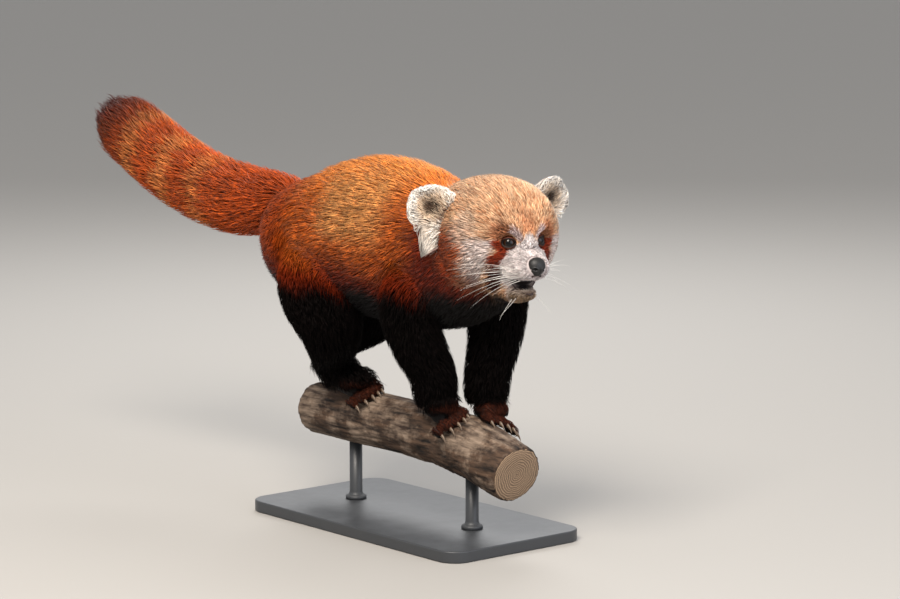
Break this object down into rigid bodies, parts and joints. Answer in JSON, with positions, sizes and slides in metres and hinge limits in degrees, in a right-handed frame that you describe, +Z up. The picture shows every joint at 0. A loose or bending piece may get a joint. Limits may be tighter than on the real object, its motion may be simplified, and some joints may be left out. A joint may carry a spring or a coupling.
{
  "type": "red panda model on a perch",
  "caption": "Still, life-size red panda walking along a cut branch, with a long coat and a bushy tail, on a flat stand with two rods.",
  "frame": {"origin": "middle of the flat underside of the stand's base", "axes": "+X the way the animal walks, +Y its left, +Z up"},
  "size_m": [0.8538, 0.21, 0.4865],
  "materials": {
    "coat_red": "long soft fur, orange red",
    "coat_tail": "long bushy fur, red brown with faint rings",
    "coat_face": "dense buff and white fur",
    "coat_white": "long white fur",
    "coat_black": "dense black-brown fur",
    "eye": "wet, dark brown",
    "nose_skin": "moist black skin",
    "bark": "worn bark",
    "stand": "satin dark grey paint"
  },
  "bodies": {
    "root": {"head": "coat_face", "ear_left": "coat_white", "ear_right": "coat_white", "neck": "coat_red", "torso": "coat_red", "tail_root": "coat_tail", "tail_end": "coat_tail", "foreleg_left": "coat_black", "foreleg_right": "coat_black", "hindleg_left": "coat_black", "hindleg_right": "coat_black", "forepaw_left": "coat_black", "forepaw_right": "coat_black", "hindpaw_left": "coat_black", "hindpaw_right": "coat_black", "eye_left": "eye", "eye_right": "eye", "nose": "nose_skin", "perch": "bark", "stand_base": "stand", "stand_rod_back": "stand", "stand_rod_front": "stand"}
  },
  "joints": []
}
